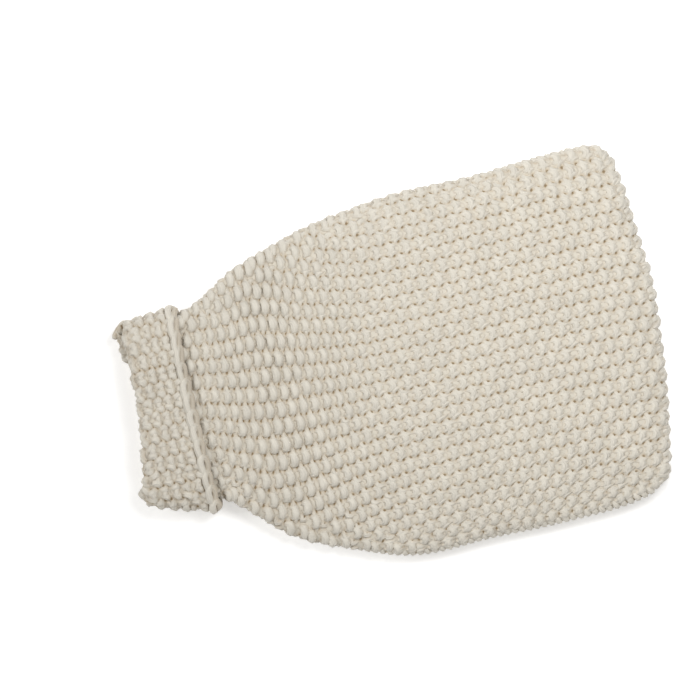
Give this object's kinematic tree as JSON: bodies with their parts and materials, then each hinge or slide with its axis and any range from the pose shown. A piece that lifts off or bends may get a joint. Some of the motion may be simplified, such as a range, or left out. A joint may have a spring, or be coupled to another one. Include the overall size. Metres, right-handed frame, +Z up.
{
  "type": "knitted hot water bottle cover",
  "caption": "Knitted cotton cover for a hot water bottle: a flat two-panel bag in seed stitch with a narrow neck turned down as a collar.",
  "frame": {"origin": "centre of the underside of the box round the cover", "axes": "X from the mouth (-) to the foot (+), Y across the cover, Z up from the surface it lies on"},
  "size_m": [0.317, 0.213, 0.0284],
  "materials": {
    "knit_front": "matte",
    "knit_back": "matte"
  },
  "bodies": {
    "root": {"front_panel": "knit_front", "back_panel": "knit_back"}
  },
  "joints": []
}
